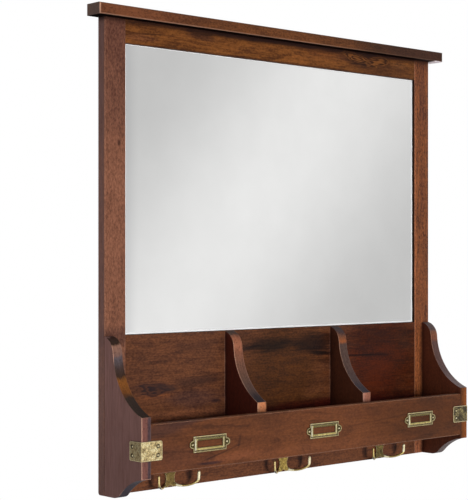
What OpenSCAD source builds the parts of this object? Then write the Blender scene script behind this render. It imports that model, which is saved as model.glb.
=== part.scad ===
// Wall mirror with a letter tray and a hook rail.
// A framed mirror stands over a tray with three pockets, and three double hooks hang below it.
// X runs to the right, Y runs into the wall and Z runs up. The back of the frame lies in Y = 0.
// Heights are laid out from the bottom edge of the frame. hung() then lowers every piece, so that
// the origin lies on the wall, midway between the two keyholes that the mirror hangs by.

/* [Frame] */
// Width across the two stiles
frame_w = 720; // [640:1:840]
// Height of the stiles
frame_h = 694.5; // [620:0.5:800]
// Thickness of the frame boards
frame_t = 15; // [14:0.5:20]
// Width of each stile
stile_w = 38; // [36:0.5:60]
// Height of the top rail
top_rail_h = 35; // [33:0.5:60]
// Height of the lower panel, which carries the tray and the hooks
lower_panel_h = 231.5; // [222:0.5:260]
// Chamfer that eases the outer front edges of the boards
ease = 1; // [0.4:0.1:2]
// Radius that rounds the stiles' lower ends at the back
foot_r = 4; // [1:0.5:6]

/* [Top cap] */
// How far the cap stands out past each stile
cap_overhang = 20; // [8:1:40]
// Depth of the cap from the wall
cap_d = 31; // [24:0.5:60]
// Thickness of the cap
cap_t = 17; // [15:0.5:25]
// Radius of the cap's edges
cap_edge_r = 2.5; // [1:0.5:5]

/* [Mirror] */
// Wood in front of the glass
lip_t = 3.5; // [3:0.5:5]
// Thickness of the mirror glass
glass_t = 3; // [3:0.5:4]
// Width of glass that the frame covers
glass_cover = 5; // [4:0.5:6]
// Thickness of the backing board
backing_t = 3; // [2:0.5:4]
// Width of the ledge that the backing board is screwed to
ledge_w = 8; // [7:0.5:10]
// Gap round the edges of the glass and of the backing board
glass_gap = 0.6; // [0.3:0.1:1]

/* [Tray] */
// Thickness of the two side brackets
side_t = 17; // [15:0.5:22]
// Distance from the wall to the front of the tray
reach = 101; // [92:0.5:120]
// Thickness of the two dividers
divider_t = 18; // [14:0.5:22]
// Thickness of the front board
front_board_t = 12; // [11:0.5:16]
// Height of the front board
front_board_h = 71.5; // [66:0.5:76]
// Height of the front board's lower edge
front_board_z = 38.5; // [36:0.5:42]
// Thickness of the shelf that closes the pockets below
shelf_t = 12; // [11:0.5:15]

/* [Curved sides] */
// Height of the sides' front edge, at its top
side_front_top = 120; // [116:0.5:124]
// Radius of the round shoulder at the top of the sides
shoulder_r = 26; // [20:0.5:28]
// How far the shoulder's centre lies behind the front of the stile
shoulder_back = 6; // [2:0.5:8]
// Radius of the long hollow below the shoulder
hollow_r = 99; // [92:1:120]
// Height of the sides' front edge, at its bottom
side_front_bottom = 32.5; // [28:0.5:36]
// Radius of the round toe at the bottom of the sides
toe_r = 21; // [17:0.5:23]
// How far the toe's centre lies in front of the stile
toe_forward = 21.5; // [17:0.5:24]
// Radius of the hollow in front of the toe
toe_hollow_r = 85; // [75:1:100]

/* [Hooks] */
// Width of a hook's plate at its corners
hook_plate_w = 23; // [21:0.5:26]
// Height of a hook's plate
hook_plate_h = 28.5; // [27:0.5:30]
// Thickness of a hook's plate
hook_plate_t = 2.4; // [2:0.2:3.4]
// Width of a hook's plate at its waist
hook_waist_w = 16; // [15:0.5:18]
// Height of the plate's lower edge above the bottom of the panel
hook_z = 0.7; // [0.5:0.1:4]
// Height of the horns where they leave the plate
horn_root_h = 5.8; // [5:0.1:6.2]
// Height of the horns at the bottom of their dip
horn_dip_h = 3; // [2.6:0.1:3.6]
// Width of the horns' upright ends, seen from the side
horn_end_w = 4.5; // [4:0.1:5]
// Thickness of the horns, across their curve
horn_thick = 3.3; // [2.8:0.1:3.8]
// Angle between the horns and the rail, seen from above
horn_spread = 37; // [30:0.5:42]
// Radius of the long dip of each horn
horn_dip_r = 36; // [33:0.5:40]
// Radius of the bend where a horn turns up
horn_bend_r = 7.3; // [6:0.1:9]
// Straight length of the upright end of a horn
horn_upright = 9; // [6:0.5:14]

/* [Brass plates] */
// Length of a corner plate's leg on the front
corner_front_w = 37; // [34:0.5:46]
// Length of a corner plate's leg on the side
corner_side_w = 26; // [22:0.5:34]
// Height of a corner plate
corner_h = 27.5; // [24:0.5:32]
// Thickness of a corner plate
corner_t = 1; // [0.8:0.1:1.4]
// Radius of a corner plate's free corners
corner_r = 3; // [1:0.5:5]
// Height of the left corner plate's centre
left_corner_z = 72; // [70:0.5:76]
// Height of the right corner plate's centre
right_corner_z = 75; // [70:0.5:76]
// Distance of the pins from the corner, on the front
corner_pin_front = 29.5; // [26:0.5:31]
// Distance of the pins from the corner, on the side
corner_pin_side = 20; // [16:0.5:21]
// Height from one pin of a corner plate to the other
corner_pin_gap = 12.6; // [10:0.2:15]
// Width of a label holder's flange
label_w = 63.4; // [60:0.2:65]
// Height of a label holder's flange
label_h = 23; // [21:0.2:25]
// Thickness of a label holder's flange
label_t = 0.8; // [0.6:0.1:1.2]
// Width of the flange that shows round the raised frame, with its rim
label_flange = 2.2; // [1.6:0.1:2.4]
// Width of the rim along the edge of the flange and its ears
label_rim_w = 0.9; // [0.6:0.1:1.2]
// Height of that rim above the flange
label_rim_h = 0.6; // [0.4:0.1:0.8]
// How far the raised frame stands out from the board
label_raise = 2; // [1.8:0.1:3]
// Width of a label holder's window
label_window_w = 49.4; // [46:0.2:51]
// Height of a label holder's window
label_window_h = 10.4; // [9.6:0.2:11]
// Distance between the two pins of a label holder
label_pin_gap = 66.6; // [66:0.2:70]
// Radius of the round ears
label_ear_r = 5.4; // [5:0.1:6]

/* [Fixings] */
// Diameter of the wooden dowels
dowel_d = 6; // [5:0.5:6]
// Length of the dowels in the frame and the cap
dowel_l = 30; // [26:1:32]
// Length of the dowels in the tray
tray_dowel_l = 23; // [20:1:24]
// Diameter of the wood screws
screw_d = 4; // [3.5:0.1:4.5]
// Length of the wood screws
screw_l = 35; // [30:1:36]
// Diameter of the screws that hold the backing board
backing_screw_d = 2.9; // [2.5:0.1:3.2]
// Diameter of the hook and keyhole plate screws
small_screw_d = 3; // [2.6:0.1:3.2]
// Length of the hook and keyhole plate screws
small_screw_l = 12; // [10:0.5:13]
// Diameter of the brass pins
pin_d = 1.6; // [1.2:0.1:2]
// Length of the brass pins
pin_l = 8; // [6:0.5:10]
// Diameter of the pins' domed heads
pin_head_d = 4.2; // [3.6:0.1:5]
// Clearance round every dowel, screw and pin
fixing_clear = 0.05; // [0.02:0.01:0.1]

/* [Keyhole plates] */
// Distance from the top of the stiles down to the keyholes' round entries
keyhole_drop = 54.5; // [50:0.5:120]
// Width of a keyhole plate
keyhole_w = 18; // [17:0.5:20]
// Height of a keyhole plate
keyhole_h = 46; // [44:0.5:52]
// Thickness of a keyhole plate
keyhole_t = 1.6; // [1.2:0.1:2]
// Radius of a keyhole's round entry
entry_r = 4.5; // [4:0.1:5]
// Width of the slot above the entry
slot_w = 4.6; // [4:0.1:5]
// Distance from the entry's centre to the top of the slot
slot_l = 11; // [10:0.5:12]
// Depth of the pocket behind a keyhole plate
pocket_d = 9; // [7:0.5:10]

/* [Hidden] */
$fn = 96;

// The mirror opening, the glass pocket and the ledge of the backing board
opening_w = frame_w - 2 * stile_w;
opening_z = lower_panel_h;
opening_h = frame_h - top_rail_h - lower_panel_h;
rebate_w = glass_cover + ledge_w;
ledge_y = -(frame_t - lip_t - glass_t);
glass_y = -(frame_t - lip_t);
ledge_mid = glass_cover + ledge_w / 2;

// The tray: three equal bays between the sides
tray_w = frame_w - 2 * side_t;
bay_w = (tray_w - 2 * divider_t) / 3;
bay_pitch = bay_w + divider_t;
divider_x = bay_pitch / 2;
front_back = reach - front_board_t;
front_board_top = front_board_z + front_board_h;
front_board_mid = front_board_z + front_board_h / 2;
shelf_z = front_board_z;
shelf_top = shelf_z + shelf_t;

// Centres of the four arcs of the curved sides, as distance from the wall and height
shoulder_c = [frame_t - shoulder_back, lower_panel_h - shoulder_r];
hollow_c = circle_centre([reach, side_front_top], hollow_r, shoulder_c, hollow_r + shoulder_r, -1);
toe_c = [frame_t + toe_forward, toe_r];
toe_hollow_c = circle_centre([reach, side_front_bottom], toe_hollow_r, toe_c,
    toe_hollow_r + toe_r, 1);

// How far the hooks and the label holders sit off the middles of the bays, from left to right,
// because they were put on by eye
hook_shift = [-4, -2.5, -6.5];
label_shift = [1.5, 5.5, 1];

// Dowels and screws
dowel_stop = 1;             // free depth past the end of a dowel
dowel_edge = 5.5;           // from the top of the stiles to the first dowel
dowel_step = 8.5;           // between the two dowels of the top rail
panel_dowel_n = 4;
panel_dowel_inset = 24;
cap_dowel_depth = 12;
cap_dowel_x = 12;           // from the outer face of a stile
cap_dowel_n = 5;
screw_point_r = 0.2;
side_screw_z = 30;
side_screw_top = 56;        // from the top of a side down to its highest screw
divider_screw_z = 30;       // above the shelf
divider_screw_top = 66;     // from the top of a divider down to its highest screw
shelf_screw_x = 63;         // from the middle to the inner screws
shelf_screw_inset = 53;     // from the ends of the shelf to its outer screws
shelf_dowel_x = 54;         // from the middle of a bay
shelf_dowel_inset = 22;     // from the shelf's long edges
front_dowel_inset = 18;     // from the front board's long edges
tray_dowel_depth = 8;       // how far the dowels go into the front board and the sides
backing_screw_l = 8;
backing_screw_n = 3;        // along each edge
backing_screw_inset = 30;   // from the corners of the opening
pan_head_h = 1.8;
hook_screw_head_d = 5.7;
hook_screw_head_h = 1.6;
pin_head_h = 1.4;
overlap = 0.1;              // how far pieces of one solid run into each other
past = 1;                   // how far a cut runs past the face that it opens

// The outline of the hooks' plates
lobe_r = 4.6;
waist_r = 16.5;
waist_z = 13;               // above the plate's lower edge
notch_r = 6;                // the hollows in the upper and lower edge
notch_depth = 2.5;

// Where the horns start, how they head at the start, after the dip and at the tip, between which
// headings they are thinnest, from which on they are full, and how finely they turn
horn_x = 8.2;
horn_y = -0.2;
horn_z = 4.1;
horn_start_angle = -25;
horn_dip_angle = 32.5;
horn_lean = 86.5;
horn_thin_angles = [0, 14];
horn_full_angle = 42;
horn_sides = 20;
horn_dip_n = 12;
horn_bend_n = 7;
tip_angles = [35, 62, 82];

// Label holders
frame_slope = 1.2;          // how far the raised frame's edges slope in
window_slope = 1;
ear_hollow_r = 3.8;         // the hollows that join an ear to the flange
ear_hollow_x = 0.6;         // how far their centres lie past the pin

// Keyhole plates
keyhole_screw_inset = 4.5;  // from the ends of the plate
head_room = 1;              // round the wall screw's head

keyhole_x = (opening_w / 2 + rebate_w + frame_w / 2) / 2;
hang_z = frame_h - keyhole_drop;

walnut = [0.40, 0.20, 0.13];
walnut_dark = [0.30, 0.13, 0.09];
dowel_wood = [0.80, 0.66, 0.45];
hardboard = [0.47, 0.34, 0.22];
silver = [0.85, 0.87, 0.88];
brass = [0.66, 0.55, 0.28];
steel = [0.62, 0.62, 0.64];

// Centre of a circle that keeps the distance rp from p and rq from q, on one side of the line p q
function circle_centre(p, rp, q, rq, side) =
    let (d = norm(q - p), along = (rp * rp - rq * rq + d * d) / (2 * d),
         across = sqrt(rp * rp - along * along), e = (q - p) / d)
    p + along * e + side * across * [-e[1], e[0]];

// Point where a circle of radius r round c touches the circle round other
function touch(c, r, other) = c + r * (other - c) / norm(other - c);

function spread(first, last, n) = [for (i = [0:n - 1]) first + i * (last - first) / (n - 1)];

module hung() {
    translate([0, 0, -hang_z]) children();
}

// Puts a copy of its children on each side of the middle
module both_sides() {
    for (side = [0, 1]) mirror([side, 0, 0]) children();
}

// In front of one bay, the leftmost being 0, set off its middle by the shift of that bay
module at_bay(i, shift) {
    translate([(i - 1) * bay_pitch + shift[i], 0, 0]) children();
}

module at_bays(shift) {
    for (i = [0:2]) at_bay(i, shift) children();
}

// --- Fixings. Each has a module for the piece and takes grow for the bore that it sits in.

module dowel(length, grow = 0) {
    rotate([0, 90, 0])
        cylinder(d = dowel_d + 2 * grow, h = length + 2 * (grow > 0 ? dowel_stop : 0),
            center = true);
}

// A countersunk screw, its head twice as wide as its shank. The head's face lies in the XY plane
// and the point is at -length.
module screw(d, length, grow = 0) {
    r = d / 2 + grow;
    translate([0, 0, -length + d]) cylinder(r = r, h = length - d);
    translate([0, 0, -length - grow]) cylinder(r1 = screw_point_r + grow, r2 = r, h = d + grow);
    translate([0, 0, -d / 2]) cylinder(r1 = r, r2 = r + d / 2, h = d / 2);
}

// A screw or pin with a domed head that stands on the XY plane
module round_head_screw(d, length, head_d, head_h) {
    translate([0, 0, -length + d]) cylinder(d = d, h = length - d + overlap);
    translate([0, 0, -length]) cylinder(r1 = screw_point_r, d2 = d, h = d);
    dome(head_d, head_h);
}

module shank_hole(d, length) {
    translate([0, 0, -length - fixing_clear])
        cylinder(d = d + 2 * fixing_clear, h = length + 2 * fixing_clear);
}

module dome(d, h) {
    ball_r = (d * d / 4 + h * h) / (2 * h);
    intersection() {
        translate([0, 0, h - ball_r]) sphere(r = ball_r);
        cylinder(d = d + past, h = h + past);
    }
}

module pin() {
    round_head_screw(pin_d, pin_l, pin_head_d, pin_head_h);
}

// --- Places of the fixings, shared by the piece and by the bores in its neighbours

module at_frame_dowels() {
    zs = concat(spread(panel_dowel_inset, lower_panel_h - rebate_w - panel_dowel_inset / 2,
        panel_dowel_n), [frame_h - dowel_edge - dowel_step, frame_h - dowel_edge]);
    both_sides() for (z = zs) translate([opening_w / 2, -frame_t / 2, z]) children();
}

module at_cap_dowels() {
    for (x = spread(cap_dowel_x - frame_w / 2, frame_w / 2 - cap_dowel_x, cap_dowel_n))
        translate([x, -frame_t / 2, frame_h + cap_dowel_depth - dowel_l / 2])
            rotate([0, 90, 0]) children();
}

module at_side_screws() {
    both_sides() for (z = spread(side_screw_z, lower_panel_h - side_screw_top, 3))
        translate([frame_w / 2 - side_t / 2, 0, z]) rotate([-90, 0, 0]) children();
}

module at_divider_screws() {
    both_sides() {
        for (z = [shelf_top + divider_screw_z, lower_panel_h - divider_screw_top])
            translate([divider_x, 0, z]) rotate([-90, 0, 0]) children();
        translate([divider_x, -(frame_t + front_back) / 2, shelf_z]) rotate([180, 0, 0])
            children();
    }
}

module at_shelf_screws() {
    both_sides() for (x = [shelf_screw_x, tray_w / 2 - shelf_screw_inset])
        translate([x, 0, shelf_z + shelf_t / 2]) rotate([-90, 0, 0]) children();
}

module at_backing_screws() {
    xs = spread(backing_screw_inset - opening_w / 2, opening_w / 2 - backing_screw_inset,
        backing_screw_n);
    zs = spread(opening_z + backing_screw_inset, opening_z + opening_h - backing_screw_inset,
        backing_screw_n);
    translate([0, ledge_y + backing_t, 0]) {
        for (x = xs, z = [opening_z - ledge_mid, opening_z + opening_h + ledge_mid])
            translate([x, 0, z]) rotate([-90, 0, 0]) children();
        both_sides() for (z = zs)
            translate([opening_w / 2 + ledge_mid, 0, z]) rotate([-90, 0, 0]) children();
    }
}

// Dowels from the sides and the shelf into the front board, and from the shelf into the sides
module at_tray_dowels() {
    back = tray_dowel_l / 2 - tray_dowel_depth;
    shelf_mid = shelf_z + shelf_t / 2;
    both_sides() {
        for (z = [front_board_z + front_dowel_inset, front_board_top - front_dowel_inset])
            translate([tray_w / 2 - back, front_board_t / 2 - reach, z]) children();
        for (y = [frame_t + shelf_dowel_inset, front_back - shelf_dowel_inset])
            translate([tray_w / 2 - back, -y, shelf_mid]) children();
        for (x = [shelf_dowel_x, bay_pitch - shelf_dowel_x, bay_pitch + shelf_dowel_x])
            translate([x, back - front_back, shelf_mid]) rotate([0, 0, 90]) children();
        translate([divider_x, back - front_back, front_board_mid]) rotate([0, 0, 90])
            children();
    }
}

module at_corner_pins() {
    for (side = [0, 1]) mirror([side, 0, 0])
        for (step = [-1, 1])
            translate([0, 0, (side == 1 ? left_corner_z : right_corner_z)
                + step * corner_pin_gap / 2]) {
                translate([frame_w / 2 - corner_pin_front, -reach - corner_t, 0])
                    rotate([90, 0, 0]) children();
                translate([frame_w / 2 + corner_t, corner_pin_side - reach, 0])
                    rotate([0, 90, 0]) children();
            }
}

module at_label_pins() {
    at_bays(label_shift) both_sides()
        translate([label_pin_gap / 2, -reach - label_t, front_board_mid])
            rotate([90, 0, 0]) children();
}

module at_hook_screws() {
    at_bays(hook_shift) both_sides()
        translate([hook_plate_w / 2 - lobe_r, -frame_t - hook_plate_t,
            hook_z + hook_plate_h - lobe_r]) rotate([90, 0, 0]) children();
}

module at_keyhole_screws() {
    both_sides() for (step = [-1, 1])
        translate([keyhole_x, 0, hang_z + slot_l / 2
            + step * (keyhole_h / 2 - keyhole_screw_inset)]) rotate([-90, 0, 0]) children();
}

// --- Frame

// The step round the back of the opening that takes the glass and, wider, the backing board
module mirror_rebate() {
    for (step = [[glass_cover, glass_y], [rebate_w, ledge_y]])
        translate([-opening_w / 2 - step[0], step[1], opening_z - step[0]])
            cube([opening_w + 2 * step[0], frame_t, opening_h + 2 * step[0]]);
}

// The shallow seat of a keyhole plate and the pocket that its screw head slides up in
module keyhole_seat() {
    pocket_r = entry_r + head_room;
    translate([keyhole_x, 0, hang_z + slot_l / 2]) {
        translate([0, -keyhole_t, 0]) rotate([-90, 0, 0])
            linear_extrude(keyhole_t + past) keyhole_outline(fixing_clear);
        for (end = [-1, 1]) translate([0, 0, end * slot_l / 2]) rotate([90, 0, 0])
            cylinder(r = pocket_r, h = pocket_d);
        translate([-pocket_r, -pocket_d, -slot_l / 2]) cube([2 * pocket_r, pocket_d, slot_l]);
    }
}

module stile() {
    difference() {
        translate([frame_w / 2, 0, 0]) linear_extrude(frame_h)
            polygon([[0, 0], [-stile_w, 0], [-stile_w, -frame_t], [-ease, -frame_t],
                [0, ease - frame_t]]);
        translate([frame_w / 2 - stile_w - past, 0, 0]) rotate([90, 0, 90])
            linear_extrude(stile_w + 2 * past) difference() {
                translate([-foot_r, -past]) square([foot_r + past, foot_r + past]);
                translate([-foot_r, foot_r]) circle(foot_r);
            }
        mirror_rebate();
        keyhole_seat();
        at_frame_dowels() dowel(dowel_l, fixing_clear);
        at_cap_dowels() dowel(dowel_l, fixing_clear);
        at_side_screws() screw(screw_d, screw_l, fixing_clear);
        at_backing_screws() shank_hole(backing_screw_d, backing_screw_l);
        at_keyhole_screws() screw(small_screw_d, small_screw_l, fixing_clear);
    }
}

module left_stile() {
    color(walnut) hung() mirror([1, 0, 0]) stile();
}

module right_stile() {
    color(walnut) hung() stile();
}

module top_rail() {
    color(walnut) hung() difference() {
        translate([-opening_w / 2, -frame_t, frame_h - top_rail_h])
            cube([opening_w, frame_t, top_rail_h]);
        mirror_rebate();
        at_frame_dowels() dowel(dowel_l, fixing_clear);
        at_cap_dowels() dowel(dowel_l, fixing_clear);
        at_backing_screws() shank_hole(backing_screw_d, backing_screw_l);
    }
}

module lower_panel() {
    color(walnut) hung() difference() {
        translate([-opening_w / 2, -frame_t, 0]) cube([opening_w, frame_t, lower_panel_h]);
        mirror_rebate();
        at_frame_dowels() dowel(dowel_l, fixing_clear);
        at_backing_screws() shank_hole(backing_screw_d, backing_screw_l);
        at_divider_screws() screw(screw_d, screw_l, fixing_clear);
        at_shelf_screws() screw(screw_d, screw_l, fixing_clear);
        at_hook_screws() shank_hole(small_screw_d, small_screw_l);
    }
}

module frame_dowels() {
    color(dowel_wood) hung() at_frame_dowels() dowel(dowel_l);
}

// --- Top cap

module rounded_square(size, r) {
    translate([r, 0]) square([size[0] - 2 * r, size[1]]);
    translate([0, r]) square([size[0], size[1] - 2 * r]);
    for (x = [r, size[0] - r], y = [r, size[1] - r]) translate([x, y]) circle(r);
}

module top_cap() {
    cap_w = frame_w + 2 * cap_overhang;
    color(walnut) hung() difference() {
        translate([-cap_w / 2, 0, frame_h]) intersection() {
            // the end profile, run along the cap, and the plan with its two round front corners
            rotate([90, 0, 90]) linear_extrude(cap_w) intersection() {
                translate([-cap_d, 0]) rounded_square([2 * cap_d, cap_t], cap_edge_r);
                translate([-cap_d, 0]) square([cap_d, cap_t]);
            }
            linear_extrude(cap_t) intersection() {
                translate([0, -cap_d]) rounded_square([cap_w, 2 * cap_d], cap_edge_r);
                translate([0, -cap_d]) square([cap_w, cap_d]);
            }
        }
        at_cap_dowels() dowel(dowel_l, fixing_clear);
    }
}

module cap_dowels() {
    color(dowel_wood) hung() at_cap_dowels() dowel(dowel_l);
}

// --- Mirror

module mirror_glass() {
    cover = glass_cover - glass_gap;
    color(silver) hung() translate([-opening_w / 2 - cover, glass_y, opening_z - cover])
        cube([opening_w + 2 * cover, glass_t, opening_h + 2 * cover]);
}

module backing_board() {
    cover = rebate_w - glass_gap;
    color(hardboard) hung() difference() {
        translate([-opening_w / 2 - cover, ledge_y, opening_z - cover])
            cube([opening_w + 2 * cover, backing_t, opening_h + 2 * cover]);
        at_backing_screws() shank_hole(backing_screw_d, backing_screw_l);
    }
}

module backing_screws() {
    color(steel) hung() at_backing_screws()
        round_head_screw(backing_screw_d, backing_screw_l, 2 * backing_screw_d, pan_head_h);
}

// --- Sides and dividers

// The S-shaped outline, drawn with the distance from the wall along X and the height along Y:
// a round shoulder flows into a long hollow above, and a round toe into a shallow hollow below
module side_outline() {
    shoulder_back_z = shoulder_c[1] + sqrt(pow(shoulder_r, 2) - pow(shoulder_back, 2));
    difference() {
        polygon([[frame_t, 0], [toe_c[0], 0], touch(toe_c, toe_r, toe_hollow_c),
            [reach, side_front_bottom], [reach, side_front_top],
            touch(shoulder_c, shoulder_r, hollow_c), [frame_t, shoulder_back_z]]);
        translate(hollow_c) circle(hollow_r);
        translate(toe_hollow_c) circle(toe_hollow_r);
    }
    intersection() {
        translate(shoulder_c) circle(shoulder_r);
        translate([frame_t, shoulder_c[1] - shoulder_r]) square(2 * shoulder_r);
    }
    translate(toe_c) circle(toe_r);
}

// Stands an outline upright, t thick and centred on x
module stand(x, t) {
    translate([x + t / 2, 0, 0]) rotate([0, 0, -90]) rotate([90, 0, 0])
        linear_extrude(t) children();
}

// One side of the tray: 0 is the right one and 1 the left one
module side_bracket(side) {
    difference() {
        mirror([side, 0, 0]) stand(frame_w / 2 - side_t / 2, side_t) side_outline();
        at_side_screws() screw(screw_d, screw_l, fixing_clear);
        at_tray_dowels() dowel(tray_dowel_l, fixing_clear);
        at_corner_pins() shank_hole(pin_d, pin_l);
    }
}

module left_side() {
    color(walnut_dark) hung() side_bracket(1);
}

module right_side() {
    color(walnut_dark) hung() side_bracket(0);
}

module divider() {
    difference() {
        stand(divider_x, divider_t) intersection() {
            side_outline();
            translate([frame_t, shelf_top]) square([front_back - frame_t, lower_panel_h]);
        }
        at_divider_screws() screw(screw_d, screw_l, fixing_clear);
        at_tray_dowels() dowel(tray_dowel_l, fixing_clear);
    }
}

module left_divider() {
    color(walnut_dark) hung() mirror([1, 0, 0]) divider();
}

module right_divider() {
    color(walnut_dark) hung() divider();
}

module side_screws() {
    color(steel) hung() at_side_screws() screw(screw_d, screw_l);
}

module divider_screws() {
    color(steel) hung() at_divider_screws() screw(screw_d, screw_l);
}

// --- Shelf and front board

module shelf() {
    color(walnut_dark) hung() difference() {
        translate([-tray_w / 2, -front_back, shelf_z])
            cube([tray_w, front_back - frame_t, shelf_t]);
        at_shelf_screws() screw(screw_d, screw_l, fixing_clear);
        at_divider_screws() screw(screw_d, screw_l, fixing_clear);
        at_tray_dowels() dowel(tray_dowel_l, fixing_clear);
    }
}

module shelf_screws() {
    color(steel) hung() at_shelf_screws() screw(screw_d, screw_l);
}

module front_board() {
    color(walnut) hung() difference() {
        translate([-tray_w / 2, 0, front_board_z]) rotate([90, 0, 90]) linear_extrude(tray_w)
            polygon([[-front_back, 0], [ease - reach, 0], [-reach, ease],
                [-reach, front_board_h - ease], [ease - reach, front_board_h],
                [-front_back, front_board_h]]);
        at_tray_dowels() dowel(tray_dowel_l, fixing_clear);
        at_corner_pins() shank_hole(pin_d, pin_l);
        at_label_pins() shank_hole(pin_d, pin_l);
    }
}

module tray_dowels() {
    color(dowel_wood) hung() at_tray_dowels() dowel(tray_dowel_l);
}

// --- Corner plates

// A leg of a corner plate, drawn from the corner outwards, with its two free corners rounded
module corner_leg(length) {
    translate([0, -corner_h / 2]) square([length - corner_r, corner_h]);
    translate([length - 2 * corner_r, corner_r - corner_h / 2])
        square([2 * corner_r, corner_h - 2 * corner_r]);
    for (side = [-1, 1]) translate([length - corner_r, side * (corner_h / 2 - corner_r)])
        circle(corner_r);
}

// The plate round the front edge of one side: 0 is the right one and 1 the left one
module corner_plate(side, z) {
    difference() {
        mirror([side, 0, 0]) translate([frame_w / 2, -reach, z]) {
            mirror([1, 0, 0]) rotate([90, 0, 0]) linear_extrude(corner_t)
                corner_leg(corner_front_w);
            rotate([90, 0, 90]) linear_extrude(corner_t) corner_leg(corner_side_w);
            // the outside of the bend is round
            intersection() {
                cylinder(r = corner_t, h = corner_h, center = true);
                translate([0, -corner_t, -corner_h / 2])
                    cube([corner_t, corner_t, corner_h]);
            }
        }
        at_corner_pins() shank_hole(pin_d, pin_l);
    }
}

module left_corner_plate() {
    color(brass) hung() corner_plate(1, left_corner_z);
}

module right_corner_plate() {
    color(brass) hung() corner_plate(0, right_corner_z);
}

module corner_plate_pins() {
    color(brass) hung() at_corner_pins() pin();
}

// --- Label holders

// The flange and its two ears, with every edge drawn in by inset. An ear is a round lobe round
// its pin, which two hollows join to the flange.
module label_outline(inset) {
    pin_x = label_pin_gap / 2;
    reach_z = label_ear_r + ear_hollow_r;
    square([label_w - 2 * inset, label_h - 2 * inset], center = true);
    for (side = [0, 1]) mirror([side, 0]) {
        translate([pin_x, 0]) circle(label_ear_r - inset);
        difference() {
            translate([0, -reach_z]) square([pin_x, 2 * reach_z]);
            for (end = [-1, 1]) translate([pin_x + ear_hollow_x, end * reach_z])
                circle(ear_hollow_r + inset);
        }
    }
}

// A raised rectangle whose four edges slope in by run as it rises
module sloped_block(w, h, rise, run) {
    intersection() {
        translate([0, 0, -h / 2]) linear_extrude(h) polygon([[-w / 2, 0], [w / 2, 0],
            [w / 2 - run, -rise], [run - w / 2, -rise]]);
        translate([-w / 2, 0, 0]) rotate([90, 0, 90]) linear_extrude(w)
            polygon([[0, -h / 2], [0, h / 2], [-rise, h / 2 - run], [-rise, run - h / 2]]);
    }
}

module label_holder() {
    frame_wide = label_w - 2 * label_flange;
    frame_high = label_h - 2 * label_flange;
    translate([0, -reach, front_board_mid]) difference() {
        union() {
            // the flange is what is left below its rim
            rotate([90, 0, 0]) difference() {
                linear_extrude(label_t + label_rim_h) label_outline(0);
                translate([0, 0, label_t]) linear_extrude(label_rim_h + past)
                    label_outline(label_rim_w);
            }
            sloped_block(frame_wide, frame_high, label_raise, frame_slope);
        }
        // the window, and the slope from the frame's ridge down to it
        translate([-label_window_w / 2, -label_raise - past, -label_window_h / 2])
            cube([label_window_w, label_raise + 2 * past, label_window_h]);
        translate([0, -label_raise, 0]) mirror([0, 1, 0])
            sloped_block(label_window_w + 2 * window_slope, label_window_h + 2 * window_slope,
                window_slope, window_slope);
        both_sides() translate([label_pin_gap / 2, -label_t, 0]) rotate([90, 0, 0])
            shank_hole(pin_d, pin_l);
    }
}

module left_label_holder() {
    color(brass) hung() at_bay(0, label_shift) label_holder();
}

module middle_label_holder() {
    color(brass) hung() at_bay(1, label_shift) label_holder();
}

module right_label_holder() {
    color(brass) hung() at_bay(2, label_shift) label_holder();
}

module label_holder_pins() {
    color(brass) hung() at_label_pins() pin();
}

// --- Hooks

// Position along an arc that starts at start, as run and rise, while its heading turns a0 to a1
function arc_point(start, r, a0, a) =
    start + r * [sin(a) - sin(a0), cos(a0) - cos(a)];

// The horn's centre line as [run, rise, heading]: a long dip, a tight bend and a straight end
function horn_line() =
    let (dip = [for (a = spread(horn_start_angle, horn_dip_angle, horn_dip_n))
             concat(arc_point([0, 0], horn_dip_r, horn_start_angle, a), [a])],
         dip_end = dip[len(dip) - 1],
         bend = [for (a = spread(horn_dip_angle, horn_lean, horn_bend_n))
             concat(arc_point([dip_end[0], dip_end[1]], horn_bend_r, horn_dip_angle, a), [a])],
         up = bend[len(bend) - 1],
         straight = [for (t = [1 / 3, 2 / 3, 1])
             [up[0] + t * horn_upright * cos(horn_lean),
              up[1] + t * horn_upright * sin(horn_lean), horn_lean]])
    concat(dip, [for (i = [1:len(bend) - 1]) bend[i]], straight);

// Half the height of a horn's oval section, measured in its own plane, by the horn's heading
function horn_half(heading) =
    lookup(heading, [[horn_start_angle, horn_root_h / 2], [horn_thin_angles[0], horn_dip_h / 2],
        [horn_thin_angles[1], horn_dip_h / 2], [horn_full_angle, horn_end_w / 2]]);

// The line again with both halves of the section at each ring, and more rings that round the tip
function horn_rings() =
    let (line = horn_line(), tip = line[len(line) - 1], half = horn_end_w / 2,
         body = [for (p = line) concat(p, [horn_half(p[2]), horn_thick / 2])],
         cap = [for (a = tip_angles)
             [tip[0] + half * sin(a) * cos(horn_lean), tip[1] + half * sin(a) * sin(horn_lean),
              horn_lean, half * cos(a), horn_thick / 2 * cos(a)]])
    concat(body, cap);

// One horn, swept in the XZ plane
module horn() {
    rings = horn_rings();
    n = len(rings);
    points = [for (ring = rings, i = [0:horn_sides - 1])
        let (turn = 360 * i / horn_sides, out = ring[3] * cos(turn))
        [ring[0] - out * sin(ring[2]), ring[4] * sin(turn), ring[1] + out * cos(ring[2])]];
    skin = [for (k = [0:n - 2], i = [0:horn_sides - 1])
        let (j = (i + 1) % horn_sides)
        [k * horn_sides + i, k * horn_sides + j, (k + 1) * horn_sides + j,
         (k + 1) * horn_sides + i]];
    root_end = [for (i = [0:horn_sides - 1]) horn_sides - 1 - i];
    tip_end = [for (i = [0:horn_sides - 1]) (n - 1) * horn_sides + i];
    polyhedron(points = points, faces = concat(skin, [root_end, tip_end]), convexity = 4);
}

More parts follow.
